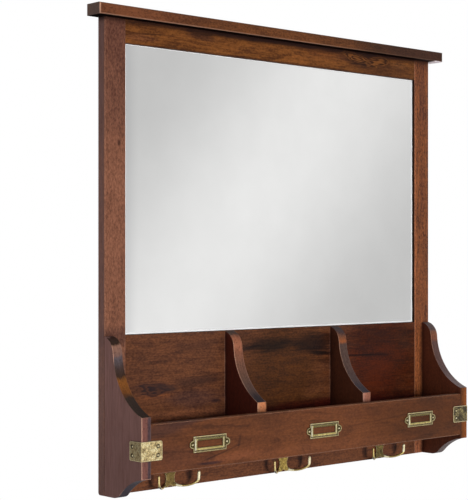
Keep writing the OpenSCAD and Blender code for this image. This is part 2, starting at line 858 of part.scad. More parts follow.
// A butterfly-shaped plate: all four edges are hollowed
module hook_outline() {
    difference() {
        translate([-hook_plate_w / 2, 0])
            rounded_square([hook_plate_w, hook_plate_h], lobe_r);
        for (side = [-1, 1]) {
            translate([side * (hook_waist_w / 2 + waist_r), waist_z]) circle(waist_r);
            translate([0, side * (hook_plate_h / 2 + notch_r - notch_depth)
                + hook_plate_h / 2]) circle(notch_r);
        }
    }
}

module hook() {
    difference() {
        union() {
            translate([0, -frame_t, hook_z]) rotate([90, 0, 0])
                linear_extrude(hook_plate_t) hook_outline();
            both_sides() translate([horn_x, -frame_t - horn_y, hook_z + horn_z])
                rotate([0, 0, -horn_spread]) horn();
        }
        // nothing of the horns runs back into the panel
        translate([-hook_plate_w / 2, -frame_t, hook_z - horn_root_h])
            cube([hook_plate_w, frame_t, hook_plate_h]);
        for (side = [-1, 1]) translate([side * (hook_plate_w / 2 - lobe_r),
            -frame_t - hook_plate_t, hook_z + hook_plate_h - lobe_r]) rotate([90, 0, 0])
            shank_hole(small_screw_d, small_screw_l);
    }
}

module left_hook() {
    color(brass) hung() at_bay(0, hook_shift) hook();
}

module middle_hook() {
    color(brass) hung() at_bay(1, hook_shift) hook();
}

module right_hook() {
    color(brass) hung() at_bay(2, hook_shift) hook();
}

module hook_screws() {
    color(brass) hung() at_hook_screws()
        round_head_screw(small_screw_d, small_screw_l, hook_screw_head_d, hook_screw_head_h);
}

// --- Keyhole plates

module keyhole_outline(grow = 0) {
    r = keyhole_w / 2 + grow;
    side = keyhole_h - keyhole_w;
    translate([-r, -side / 2]) square([2 * r, side]);
    for (end = [-1, 1]) translate([0, end * side / 2]) circle(r);
}

module keyhole_plate() {
    difference() {
        translate([keyhole_x, -keyhole_t, hang_z + slot_l / 2]) rotate([-90, 0, 0])
            linear_extrude(keyhole_t) keyhole_outline();
        translate([keyhole_x, 0, hang_z]) {
            rotate([90, 0, 0]) cylinder(r = entry_r, h = 2 * (keyhole_t + past), center = true);
            translate([0, 0, slot_l]) rotate([90, 0, 0])
                cylinder(d = slot_w, h = 2 * (keyhole_t + past), center = true);
            translate([-slot_w / 2, -keyhole_t - past, 0])
                cube([slot_w, keyhole_t + 2 * past, slot_l]);
        }
        at_keyhole_screws() screw(small_screw_d, small_screw_l, fixing_clear);
    }
}

module left_keyhole_plate() {
    color(steel) hung() mirror([1, 0, 0]) keyhole_plate();
}

module right_keyhole_plate() {
    color(steel) hung() keyhole_plate();
}

module keyhole_plate_screws() {
    color(steel) hung() at_keyhole_screws() screw(small_screw_d, small_screw_l);
}

left_stile();
right_stile();
top_rail();
lower_panel();
frame_dowels();
top_cap();
cap_dowels();
mirror_glass();
backing_board();
backing_screws();
left_side();
right_side();
side_screws();
left_divider();
right_divider();
divider_screws();
shelf();
shelf_screws();
front_board();
tray_dowels();
left_corner_plate();
right_corner_plate();
corner_plate_pins();
left_label_holder();
middle_label_holder();
right_label_holder();
label_holder_pins();
left_hook();
middle_hook();
right_hook();
hook_screws();
left_keyhole_plate();
right_keyhole_plate();
keyhole_plate_screws();
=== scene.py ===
import math

import bpy
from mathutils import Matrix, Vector


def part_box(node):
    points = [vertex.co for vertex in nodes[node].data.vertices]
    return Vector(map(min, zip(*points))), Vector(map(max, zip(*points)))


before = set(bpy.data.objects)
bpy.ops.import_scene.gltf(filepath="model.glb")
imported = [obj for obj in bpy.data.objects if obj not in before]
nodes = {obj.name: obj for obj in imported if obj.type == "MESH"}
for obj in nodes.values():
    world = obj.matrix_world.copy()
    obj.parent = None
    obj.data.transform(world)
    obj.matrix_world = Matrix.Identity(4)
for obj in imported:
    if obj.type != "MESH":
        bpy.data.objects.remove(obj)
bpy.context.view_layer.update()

# ---------------------------------------------------------------- stage measures
# in metres and radians, unless a comment says otherwise.
# the camera stands to the left, level with the middle of the part. Its lens is in millimetres
EYE = Vector((-1.6042, -1.6730, -0.2970))
EYE_YAW = math.radians(42.07)
LENS = 102.745
SENSOR = 36.0
SHIFT_Y = 0.0182
# the floor is painted up to the first distance from the part, and plain white from the second on
FLOOR_Z = -1.25
FLOOR_REACH = 14.0
FLOOR_PAINTED = (0.7, 2.2)
SKY_LIGHT = 0.12
# the card that only reflections see: where it starts and how far it goes round, in degrees
CARD_R = 3.6
CARD_HEIGHTS = (-1.2, 6.0)
CARD_START = -172
CARD_SWEEP = 250
CARD_STEPS = 72
# its brightness, and the soft band that slants across it
CARD_LEVEL = 0.7
CARD_LEAST = 0.06
CARD_SWING = 0.135
CARD_TURN = 13.92
CARD_RISE = -2.60
CARD_PHASE = -0.972
# the lighter waist: its height, how far it reaches up and down, and what it adds
WAIST_Z = -0.05
WAIST_REACH = 0.5
WAIST_GAIN = 0.014
# the bright strip: its direction, where its sides and its top end and are full, and what it adds
STRIP_ANGLE = -0.03
STRIP_SIDES = (0.30, 0.14)
STRIP_TOP = (-0.66, -0.82)
STRIP_GAIN = 1.5
# the dull parts: where they start and are full, going left and up, and what they add
DULL_LEFT = (-1.2, -1.9, 0.0, -0.5)
DULL_HIGH = (1.0, 1.8, 0.0, -0.45)


# ---------------------------------------------------------------- node graphs
class Graph:
    """A material or world node tree, with short calls for the nodes that the finishes share."""

    def __init__(self, tree):
        self.tree = tree
        tree.nodes.clear()

    def add(self, kind, inputs=None, **settings):
        node = self.tree.nodes.new(kind)
        for key, value in settings.items():
            setattr(node, key, value)
        for key, value in (inputs or {}).items():
            self.set(node.inputs[key], value)
        return node

    def set(self, socket, value):
        if isinstance(value, bpy.types.NodeSocket):
            self.tree.links.new(value, socket)
        elif value is not None:
            socket.default_value = value

    def math(self, operation, a, b=None, clamp=False):
        node = self.add("ShaderNodeMath", operation=operation, use_clamp=clamp)
        self.set(node.inputs[0], a)
        self.set(node.inputs[1], b)
        return node.outputs[0]

    def fold(self, operation, values):
        total = values[0]
        for value in values[1:]:
            total = self.math(operation, total, value)
        return total

    def plus(self, *values):
        return self.fold("ADD", values)

    def times(self, *values):
        return self.fold("MULTIPLY", values)

    def most(self, *values):
        return self.fold("MAXIMUM", values)

    def minus(self, a, b, clamp=False):
        return self.math("SUBTRACT", a, b, clamp)

    def swing(self, noise, reach):
        """A noise as a push either way, reach from end to end."""
        return self.times(self.minus(noise, 0.5), reach)

    def vector(self, operation, a, b=None, scale=None):
        node = self.add("ShaderNodeVectorMath", operation=operation)
        self.set(node.inputs[0], a)
        if b is not None:
            self.set(node.inputs[1], b)
        if scale is not None:
            self.set(node.inputs["Scale"], scale)
        return node.outputs["Value"] if operation in ("LENGTH", "DOT_PRODUCT") else node.outputs[0]

    def noise(self, vector, scale, detail=3.0, roughness=0.5, distortion=0.0, colour=False):
        node = self.add("ShaderNodeTexNoise", {
            "Vector": vector, "Scale": scale, "Detail": detail, "Roughness": roughness,
            "Distortion": distortion})
        return node.outputs["Color" if colour else "Fac"]

    def span(self, value, low, high, to_low=0.0, to_high=1.0):
        """Smoothly maps low..high to to_low..to_high."""
        node = self.add("ShaderNodeMapRange", {
            "Value": value, "From Min": low, "From Max": high, "To Min": to_low,
            "To Max": to_high}, interpolation_type="SMOOTHSTEP")
        return node.outputs[0]

    def ramp(self, fac, stops):
        node = self.add("ShaderNodeValToRGB", {"Fac": fac})
        elements = node.color_ramp.elements
        while len(elements) < len(stops):
            elements.new(0.5)
        for element, (place, colour) in zip(elements, stops):
            element.position = place
            element.color = (*colour, 1.0)
        return node.outputs[0]

    def bands(self, value, stops):
        """Colours by a measure. stops are pairs of measure and colour, in either order of measure."""
        stops = sorted(stops)
        low, high = stops[0][0], stops[-1][0]
        share = self.add("ShaderNodeMapRange", {"Value": value, "From Min": low, "From Max": high})
        return self.ramp(share.outputs[0], [((v - low) / (high - low), colour) for v, colour in stops])

    def mix(self, fac, a, b, blend="MIX"):
        node = self.add("ShaderNodeMix", data_type="RGBA", blend_type=blend)
        self.set(node.inputs[0], fac)
        for socket, value in ((node.inputs[6], a), (node.inputs[7], b)):
            self.set(socket, (*value, 1.0) if isinstance(value, tuple) and len(value) == 3 else value)
        return node.outputs[2]

    def split(self, vector):
        return self.add("ShaderNodeSeparateXYZ", {"Vector": vector}).outputs

    def join(self, x, y, z):
        node = self.add("ShaderNodeCombineXYZ")
        for socket, value in zip(node.inputs, (x, y, z)):
            self.set(socket, value)
        return node.outputs[0]

    def place(self):
        return self.add("ShaderNodeTexCoord").outputs["Object"]

    def normal(self):
        return self.add("ShaderNodeNewGeometry").outputs["Normal"]

    def rounded(self, radius, samples):
        """The normal as it would be with every arris rounded."""
        return self.add("ShaderNodeBevel", {"Radius": radius}, samples=samples).outputs[0]


def srgb(r, g, b):
    """An sRGB colour, 0 to 255, as linear values."""
    return tuple(((v / 255 + 0.055) / 1.055) ** 2.4 if v > 10 else v / 3294.6 for v in (r, g, b))


def new_material(name):
    material = bpy.data.materials.new(name)
    material.use_nodes = True
    return material, Graph(material.node_tree)


def hollow(g, distance):
    """1 in the open, falling to 0 deep in a corner no wider than distance."""
    return g.add("ShaderNodeAmbientOcclusion", {"Distance": distance}, samples=8).outputs["AO"]


def finish_shader(g, colour, roughness, height, depth, edge=0.0007):
    """The shader and its output. height, in 0 to 1, stands depth metres high, and edge is the radius
    that the corners seem to have."""
    bump = g.add("ShaderNodeBump", {"Height": height, "Distance": depth, "Strength": 1.0,
                                    "Normal": g.rounded(edge, 6)}).outputs[0]
    shader = g.add("ShaderNodeBsdfPrincipled", {"Base Color": colour, "Roughness": roughness,
                                                "Normal": bump})
    g.add("ShaderNodeOutputMaterial", {"Surface": shader.outputs[0]})
    return shader


# ---------------------------------------------------------------- wood
# the axes along a board's grain, across it and behind it, and how far apart on them boards whose
# seeds differ by one lie in the tree
GRAIN = {"x": (0, 2, 1), "z": (2, 0, 1)}
SEED_STEP = (1.37, 0.211, 0.173)
# the darkest staining, also the colour of the painted shade, and the light colour of the arrises: bare
# wood where the staining is rubbed off, and a painted highlight
DARKEST_STAIN_AND_SHADE = srgb(34, 18, 15)
RUBBED_AND_HIGHLIGHT = srgb(214, 164, 136)
MIDDLE_TONE = 0.52
# how far the painted shade in the corners reaches
CORNER_REACH = 0.017
RUBBED_WIDTH = 0.0026
KNOT_RINGS = 17.0
SHINE = 0.12
ROUGHNESS = (0.43, 0.59)


class Board:
    """What a board's finish is made from: its axes, the noises along its grain, and how it faces."""

    def __init__(self, g, along, seed):
        self.g = g
        self.place = g.place()
        self.axes = g.split(self.place)
        grain = tuple(self.axes[i] for i in GRAIN[along])
        self.long, self.wide, self.deep = grain
        self.field = g.join(*(g.plus(axis, seed * step) for axis, step in zip(grain, SEED_STEP)))
        self.warp = g.split(self.noise(along=3.0, across=11.0, detail=2.0, roughness=0.5, colour=True))
        self.wave = g.split(self.noise(along=14.0, across=40.0, detail=3.0, roughness=0.55, colour=True))
        self.fibre = self.noise(along=26.0, across=380.0, detail=4.0, roughness=0.65)
        self.blotch = self.noise(along=17.0, across=42.0, detail=4.0, roughness=0.6, distortion=0.8)
        self.cloud = self.noise(along=4.0, across=9.0, detail=2.0, roughness=0.5)
        self.grit = self.noise(along=230.0, across=420.0, detail=2.0, roughness=0.6)
        specks = self.noise(along=120.0, across=620.0, detail=2.0, roughness=0.7)
        self.pore = g.span(specks, 0.58, 0.72)
        self.stir = g.plus(g.times(self.wave[1], 0.6), g.times(self.fibre, 0.4))
        self.normal = g.normal()
        self.facing = g.split(self.normal)
        self.aside = g.math("ABSOLUTE", self.facing[0])
        # how open each place is, with noise; the painted shade in the corners follows it
        self.corner = g.plus(hollow(g, CORNER_REACH), g.swing(self.wave[1], 0.12))

    def noise(self, along, across, detail, roughness, distortion=0.0, colour=False):
        """A noise that the grain draws out. along and across are how often it turns in a metre."""
        drawn = self.g.vector("MULTIPLY", self.field, (along, across, across))
        return self.g.noise(drawn, 1.0, detail, roughness, distortion, colour)


def off_centre(board, x, z, half_long, half_wide, turn):
    """How far a point lies from a spot's centre, in half sizes, on the plane of X and Z."""
    local = board.g.add("ShaderNodeMapping", {
        "Vector": board.place, "Location": (x, 0.0, z), "Rotation": (0.0, math.radians(-turn), 0.0),
        "Scale": (half_long, 50.0, half_wide)}, vector_type="TEXTURE").outputs[0]
    return board.g.vector("LENGTH", local)


def stain(board, colour, spot, middle):
    """A soft patch that keeps the grain under it. Most patches are stains; some are painted shadows, and
    one is
    painted light. spot: centre X and Z, half length, half width, turn in degrees, strength, tint. middle
    is the board's own middle colour."""
    g = board.g
    *shape, strength, tint = spot
    away = g.plus(off_centre(board, *shape), g.swing(board.stir, 1.6))
    share = tuple(v / w for v, w in zip(tint, middle))
    return g.mix(g.times(g.span(away, 1.3, 0.35), strength), colour, share, "MULTIPLY")


def knot(board, colour, spot, light):
    """An eye with rings. spot is as for a stain, and its last value is how light the rings stand."""
    g = board.g
    *shape, strength, tint, contrast = spot
    away = g.plus(off_centre(board, *shape), g.swing(board.wave[1], 2.4), g.swing(board.fibre, 0.9))
    ring = g.plus(0.5, g.times(g.math("SINE", g.times(away, KNOT_RINGS)), 0.5))
    eye = g.mix(g.times(ring, contrast), tint, light)
    return g.mix(g.times(g.span(away, 1.2, 0.5), strength), colour, eye)


def late_wood(board, spacing, heart, tilt):
    """The dark part of each ring of the log, which a flat board cuts into pointed flames."""
    g = board.g
    across = g.plus(g.minus(board.wide, heart[1]), g.swing(board.warp[0], 0.05))
    behind = g.plus(g.times(g.minus(board.long, heart[0]), tilt), g.swing(board.warp[1], 0.04),
                    g.minus(heart[2], board.deep))
    radius = g.vector("LENGTH", g.join(across, behind, 0.0))
    ring = g.math("FRACT", g.plus(g.math("DIVIDE", radius, spacing), g.swing(board.wave[2], 0.8)))
    return g.times(g.span(ring, 0.45, 0.93), g.span(ring, 1.0, 0.96), g.span(board.wave[0], 0.38, 0.66))


def curved_edge(board, curve):
    """The colour of a curved edge. It is sawn across the grain, so the staining took in bands. The light
    bands where the curve faces front are a painted highlight, and the front's light left arris is partly
    rubbed, partly a painted highlight.
    """
    g = board.g
    _, _, z = board.axes
    height = g.plus(z, g.swing(board.wave[0], 0.018), g.swing(board.grit, 0.004))
    edge = g.bands(height, curve["bands"])
    foot_z = min(level for level, _ in curve["bands"])
    flat = g.times(g.span(board.facing[1], -0.985, -0.998), g.span(z, foot_z + 0.0012, foot_z + 0.0002))
    edge = g.mix(flat, edge, g.bands(board.axes[0], curve["front"]))
    edge = g.mix(g.span(board.facing[2], -0.1, -0.3), edge, curve["foot"])
    stripe = g.noise(g.vector("MULTIPLY", board.place, (620.0, 30.0, 30.0)), 1.0, 2.0, 0.6)
    edge = g.mix(g.span(stripe, 0.5, 0.72, 0.0, 0.5), edge, (0.45, 0.42, 0.42), "MULTIPLY")
    edge = g.mix(g.span(stripe, 0.5, 0.3, 0.0, 0.5), edge, (1.5, 1.45, 1.4), "MULTIPLY")
    edge = g.mix(g.times(g.span(board.grit, 0.5, 0.68), 0.45), edge, DARKEST_STAIN_AND_SHADE)
    return g.mix(g.times(board.pore, 0.45), edge, DARKEST_STAIN_AND_SHADE)


def rubbed_and_highlit_arrises(board, top, rubbed_x, curve):
    """How strongly the arrises are lightened: partly the staining rubbed off, partly a painted highlight,
    most on those that look left or down.
    """
    g = board.g
    x, _, z = board.axes
    soft = g.rounded(RUBBED_WIDTH, 8)
    lie = g.split(soft)
    turned = g.minus(1.0, g.vector("DOT_PRODUCT", soft, board.normal))
    side = g.most(g.span(lie[0], 0.0, -0.3, 0.12, 1.0), g.span(lie[2], -0.05, -0.3, 0.0, 0.9),
                  g.span(lie[2], 0.05, 0.4, 0.0, top))
    rubbed = g.times(g.span(turned, 0.015, 0.13), g.span(board.wave[1], 0.2, 0.6, 0.65, 1.0), side,
                     g.span(board.corner, 0.62, 0.8), g.span(board.aside, 0.9, 0.6),
                     g.span(board.facing[2], -0.9, -0.6))
    if curve:
        shares = [(level, (share,) * 3) for level, share in curve["rub_and_highlight"]]
        rubbed = g.times(rubbed, g.bands(z, shares))
    if rubbed_x:
        start, end = rubbed_x
        rubbed = g.times(rubbed, g.span(x, start, start + 0.003), g.span(x, end, end - 0.003))
    return rubbed


def eased_rub_and_highlight(board):
    """The lightening on round front arrises, partly rubbing and partly a painted highlight: below, where
    it fades to the right, and at the left end.
    """
    g = board.g
    x, _, z = board.axes
    nx, _, nz = board.facing
    lower = g.times(g.span(nz, -0.2, -0.45), g.span(nz, -0.93, -0.8), g.span(x, 0.25, 0.0, 0.07, 0.32))
    left = g.times(g.span(nx, -0.2, -0.4), g.span(nx, -0.97, -0.88), g.span(z, 0.058, 0.070, 0.6, 1.0))
    return g.times(g.most(lower, left), g.span(board.wave[1], 0.2, 0.6, 0.6, 1.0))


def wood(name, along, light, dark, seed, fibres=0.6, blotches=0.8, grits=1.6, specks=0.3, lines=0.3,
         spacing=0.012, heart=(0.0, 0.0, 0.05), tilt=0.1, stain_and_light_patches=(), knots=(), flank=None, under=None,
         curve=None, worn=0.8, top=0.3, rubbed_x=None, eased=0.0, shade=0.8):
    """Stained walnut. along is the grain's direction, light and dark are the ends of its colour, and
    seed says where in the tree the board was. fibres, blotches and grits are how strong those noises
    are, specks how dark the pores are, and lines how dark the rings. heart is where the middle of the
    log passes the board, along the grain, across it and behind it, tilt how steeply it runs, and
    spacing how far the rings lie apart. Stains, painted shadows, painted light and knots lie
    everywhere but on the back. flank paints the faces that look left, darker towards the bottom: a
    painted sheen, and on an inner face painted shade. under paints those that look down, by X, with
    painted shade and a painted reflection. curve holds the colours of a curved edge: bands by height,
    front by X, its foot, and how strongly its arrises are lightened by height. worn is how strongly
    the arrises are lightened, partly rubbed bare and partly a painted highlight, top the same for
    those on top, rubbed_x where along X they are lightened at all, and eased how strong the rubbing
    and painted highlight on round front arrises are. shade is how dark the painted shade in the
    corners is."""
    material, g = new_material(name)
    board = Board(g, along, seed)

    tone = g.plus(g.swing(board.fibre, fibres), g.swing(board.blotch, blotches),
                  g.swing(board.cloud, blotches), g.swing(board.grit, grits), MIDDLE_TONE)
    tone = g.minus(tone, g.times(late_wood(board, spacing, heart, tilt), lines), clamp=True)
    middle = tuple((p + q) / 2 for p, q in zip(light, dark))
    plain = g.ramp(tone, [(0.05, dark), (0.5, middle), (0.95, light)])
    colour = plain
    for spot in stain_and_light_patches:
        colour = stain(board, colour, spot, middle)
    for spot in knots:
        colour = knot(board, colour, spot, light)
    colour = g.mix(g.span(board.facing[1], 0.5, 0.9), colour, plain)
    colour = g.mix(g.times(board.pore, specks), colour, DARKEST_STAIN_AND_SHADE)

    # faces that look left take the flank colour, streaked and darker towards the bottom: a painted sheen
    # on outer faces, painted shade on the right stile's inner face
    if flank:
        streaks = g.plus(0.62, g.swing(board.fibre, 1.1))
        tint = g.mix(g.span(board.axes[2], -0.47, -0.62, 0.0, 0.22), flank, DARKEST_STAIN_AND_SHADE)
        colour = g.mix(g.times(g.span(board.facing[0], -0.7, -0.9), streaks), colour, tint)
    # faces that look down take a colour by X: on the cap, painted shade under most of it and a painted
    # reflection near its right end
    if under:
        down = g.span(board.facing[2], -0.5, -0.9)
        colour = g.mix(down, colour, g.bands(board.axes[0], under))
    if curve:
        colour = g.mix(g.span(board.aside, 0.75, 0.5), colour, curved_edge(board, curve))

    # painted shade darkens the corners, and the arrises are lightened: partly rubbed thin, partly a
    # painted highlight
    colour = g.mix(g.times(g.span(board.corner, 0.84, 0.56), shade), colour, DARKEST_STAIN_AND_SHADE)
    colour = g.mix(g.times(rubbed_and_highlit_arrises(board, top, rubbed_x, curve), worn), colour, RUBBED_AND_HIGHLIGHT)
    if eased:
        colour = g.mix(g.times(eased_rub_and_highlight(board), eased), colour, RUBBED_AND_HIGHLIGHT)

    height = g.minus(g.times(board.fibre, 0.4), g.times(board.pore, 0.8))
    roughness = g.span(g.plus(g.times(board.fibre, 0.5), g.times(board.blotch, 0.5)), 0.3, 0.7,
                       *ROUGHNESS)
    shader = finish_shader(g, colour, roughness, height, depth=0.0001, edge=0.0012)
    # where under is given, faces that look down lose their sheen, and the painted reflection stands in
    # for it
    shine = g.span(board.facing[2], -0.5, -0.9, SHINE, 0.0) if under else SHINE
    g.set(shader.inputs["Specular IOR Level"], shine)
    return material


# painted shadows on the hook rail, laid as patches: each lies behind a horn and a little to its right
HORN_IN = 0.003
SHADOW_RIGHT = 0.002
HORN_SHADOWS = []
for name in ("left_hook", "middle_hook", "right_hook"):
    (x_low, _, _), (x_high, _, _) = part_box(name)
    for x in (x_low + HORN_IN, x_high - HORN_IN):
        HORN_SHADOWS.append((x + SHADOW_RIGHT, -0.622, 0.0070, 0.017, 0, 0.8, srgb(50, 27, 20)))

# the curved edges of the sides and dividers, from the shoulder down and from left to right. The light
# bands where a curve faces front are a painted highlight, and the last list gives how strongly the
# arrises are lightened by height, by rubbing and a painted highlight
LEFT_CURVE = dict(
    bands=[(-0.4092, srgb(132, 100, 96)), (-0.411, srgb(50, 32, 26)), (-0.4200, srgb(50, 34, 22)),
           (-0.4230, srgb(140, 101, 84)), (-0.437, srgb(122, 90, 80)), (-0.441, srgb(88, 78, 82)),
           (-0.455, srgb(64, 49, 45)), (-0.4665, srgb(56, 38, 28)), (-0.4725, srgb(132, 80, 34)),
           (-0.487, srgb(116, 68, 30)), (-0.494, srgb(50, 37, 30)), (-0.520, srgb(44, 33, 28))],
    front=[(-0.360, srgb(184, 138, 122)), (-0.3575, srgb(118, 76, 68)), (-0.3500, srgb(116, 74, 66)),
           (-0.3475, srgb(74, 58, 62)), (-0.343, srgb(80, 62, 64))],
    foot=srgb(52, 46, 54),
    rub_and_highlight=[(-0.4092, 0.0), (-0.4200, 0.05), (-0.4225, 1.0), (-0.4440, 1.0), (-0.4490, 0.12),
          (-0.5170, 0.12), (-0.5205, 1.0)])
LEFT_DIVIDER_CURVE = dict(
    bands=[(-0.4092, srgb(66, 52, 46)), (-0.414, srgb(84, 60, 50)), (-0.420, srgb(152, 94, 70)),
           (-0.433, srgb(160, 100, 74)), (-0.444, srgb(130, 82, 62)), (-0.460, srgb(116, 78, 62)),
           (-0.480, srgb(98, 70, 58)), (-0.498, srgb(80, 60, 54)), (-0.506, srgb(46, 38, 42)),
           (-0.5149, srgb(38, 32, 38))],
    front=[(-0.1263, srgb(210, 150, 114)), (-0.1195, srgb(188, 120, 80)), (-0.1083, srgb(186, 118, 80))],
    foot=srgb(60, 44, 40),
    rub_and_highlight=[(-0.4092, 0.0), (-0.4215, 0.1), (-0.4265, 1.0), (-0.4800, 1.0), (-0.5030, 0.3), (-0.5150, 0.9)])
RIGHT_DIVIDER_CURVE = dict(
    bands=[(-0.4092, srgb(66, 54, 56)), (-0.419, srgb(72, 56, 56)), (-0.4250, srgb(116, 74, 54)),
           (-0.434, srgb(150, 84, 46)), (-0.439, srgb(80, 62, 56)), (-0.472, srgb(84, 64, 58)),
           (-0.496, srgb(78, 62, 60)), (-0.506, srgb(54, 48, 56)), (-0.5149, srgb(50, 44, 52))],
    front=[(0.1083, srgb(192, 138, 120)), (0.115, srgb(160, 104, 84)), (0.1263, srgb(152, 96, 76))],
    foot=srgb(60, 44, 40),
    rub_and_highlight=[(-0.4092, 0.0), (-0.4190, 0.1), (-0.4240, 1.0), (-0.4700, 0.8), (-0.4900, 0.3), (-0.5150, 0.7)])
RIGHT_CURVE = dict(
    bands=[(-0.4092, srgb(92, 76, 76)), (-0.421, srgb(92, 74, 72)), (-0.4255, srgb(132, 84, 62)),
           (-0.4375, srgb(126, 78, 58)), (-0.444, srgb(92, 66, 62)), (-0.472, srgb(94, 70, 66)),
           (-0.500, srgb(104, 84, 84)), (-0.516, srgb(126, 108, 108)), (-0.520, srgb(126, 108, 108))],
    front=[(0.343, srgb(58, 33, 18)), (0.3465, srgb(98, 54, 26)), (0.352, srgb(120, 66, 28)),
           (0.360, srgb(146, 80, 38))],
    foot=srgb(106, 94, 92),
    rub_and_highlight=[(-0.4092, 0.0), (-0.4220, 0.1), (-0.4250, 0.8), (-0.4550, 0.7), (-0.4700, 0.3), (-0.5200, 0.0)])
